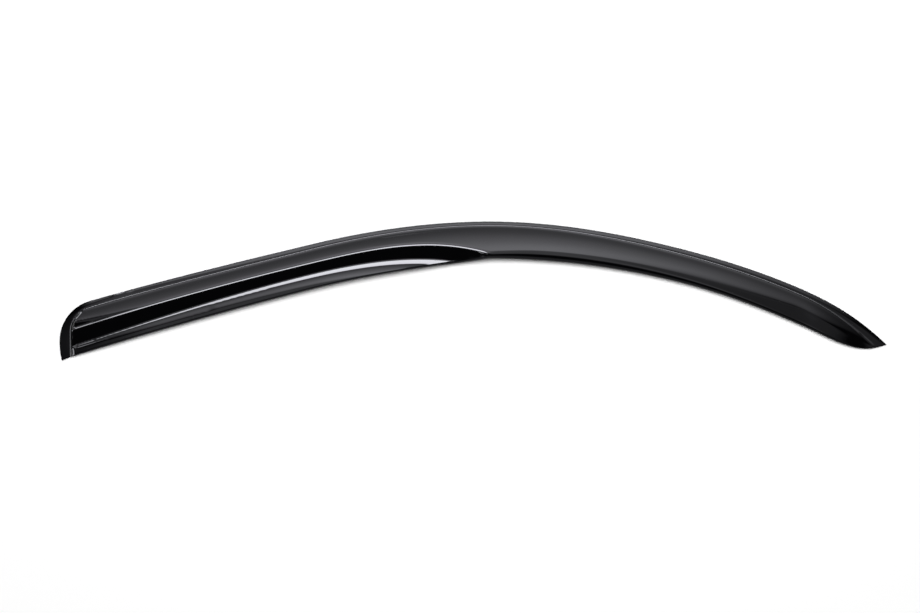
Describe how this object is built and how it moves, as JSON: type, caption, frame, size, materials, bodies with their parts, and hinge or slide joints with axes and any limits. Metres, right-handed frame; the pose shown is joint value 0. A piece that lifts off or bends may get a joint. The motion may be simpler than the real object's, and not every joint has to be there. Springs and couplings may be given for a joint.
{
  "type": "window deflector",
  "caption": "Long arched window deflector for a car's front door: one thin glossy dark shell with a fixing flange, a rolled lower edge and a scoop with a flared wing at the rear.",
  "frame": {"origin": "centre of the part's box in plan, on the plane of the flange's back", "axes": "+X along the part towards the front tip, +Y across it towards the roof edge, +Z out of the outer face, away from the door"},
  "size_m": [0.98, 0.1648, 0.0156],
  "materials": {
    "smoked_acrylic": "high gloss"
  },
  "bodies": {
    "root": {"visor": "smoked_acrylic"}
  },
  "joints": []
}
